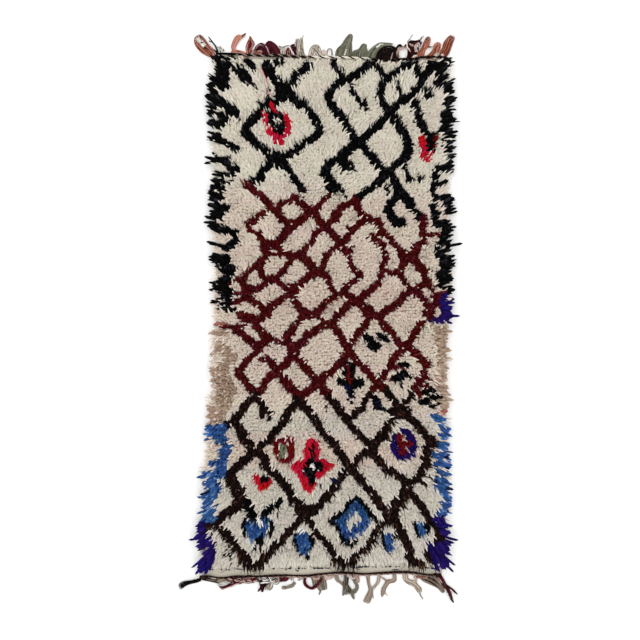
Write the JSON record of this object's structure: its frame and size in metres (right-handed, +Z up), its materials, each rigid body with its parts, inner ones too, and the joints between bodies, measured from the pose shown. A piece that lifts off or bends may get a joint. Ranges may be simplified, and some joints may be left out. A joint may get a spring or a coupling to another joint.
{
  "type": "azilal rug",
  "caption": "Long hand-knotted wool pile rug with a lozenge lattice, coloured side tufts, twined ends and loose yarn fringes, lying flat.",
  "frame": {"origin": "on the underside, below the middle of the whole rug with its fringes", "axes": "+Z up out of the pile, +Y along the rug to the end that is uppermost in the picture, +X to the right"},
  "size_m": [1.1182, 2.283, 0.031],
  "materials": {
    "wool_pile": "matt hand-spun wool pile, cream with dyed knots",
    "dark_wool_cord": "matt dark brown twined wool cord",
    "dyed_wool_yarn": "matt salmon, maroon and sage wool yarn",
    "undyed_wool_yarn": "matt beige, grey and maroon wool yarn"
  },
  "bodies": {
    "root": {"rug_body": "wool_pile", "twining_top": "dark_wool_cord", "twining_bottom": "dark_wool_cord", "fringe_top": "dyed_wool_yarn", "fringe_bottom": "undyed_wool_yarn"}
  },
  "joints": []
}
